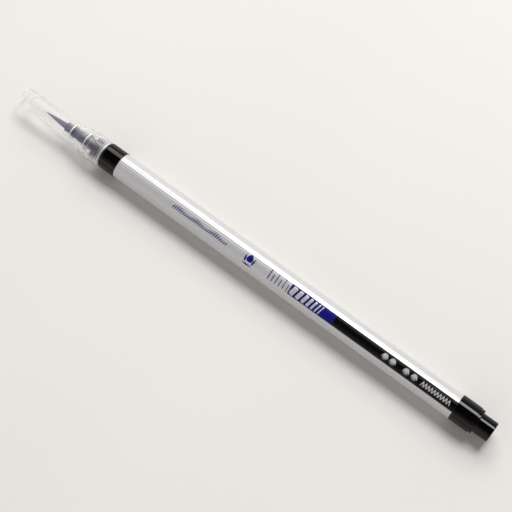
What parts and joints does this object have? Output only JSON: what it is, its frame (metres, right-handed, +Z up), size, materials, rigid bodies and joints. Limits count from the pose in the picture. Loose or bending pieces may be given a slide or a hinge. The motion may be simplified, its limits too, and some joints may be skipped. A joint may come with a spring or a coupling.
{
  "type": "brush pen",
  "caption": "Slim round brush pen with a fluted silver barrel, black trim rings, a stepped clear cap over a fine bristle tip, and a tail post for the cap.",
  "frame": {"origin": "bottom centre of the whole pen with its cap on, on the surface that it lies on", "axes": "+X along the pen from the brush and cap end to the tail, +Z up from the surface, +Y to the side"},
  "size_m": [0.1724, 0.0084, 0.0084],
  "materials": {
    "clear_cap": "clear glossy polystyrene",
    "clear_holder": "clear glossy plastic, slightly smoky where ink is behind it",
    "bristles": "fine tapered nylon filaments, damp with grey-violet ink",
    "black_gloss": "deep gloss black injection moulding",
    "silver_barrel": "satin silver lacquer over an extruded tube with fine lengthwise flutes",
    "white_plastic": "natural white moulding",
    "wick_fibre": "bonded polyester fibre rod, inked",
    "reservoir_fibre": "bundled polyester fibre, inked",
    "clear_film": "thin clear film"
  },
  "bodies": {
    "pen": {"brush_tuft": "bristles", "tuft_collar": "white_plastic", "tuft_retainer": "white_plastic", "nose_sleeve": "clear_holder", "nib_holder": "clear_holder", "relay_wick": "wick_fibre", "wick_sleeve": "white_plastic", "front_ring": "black_gloss", "barrel_tube": "silver_barrel", "reservoir_fibre": "reservoir_fibre", "reservoir_wrap": "clear_film", "reservoir_stop": "white_plastic", "tail_ring": "black_gloss", "tail_plug": "black_gloss"},
    "cap": {"cap_shell": "clear_cap"}
  },
  "joints": [
    {"name": "cap_slide", "type": "slide", "parent": "pen", "child": "cap", "axis": [-1, 0, 0], "range_m": [0, 0.035]}
  ]
}
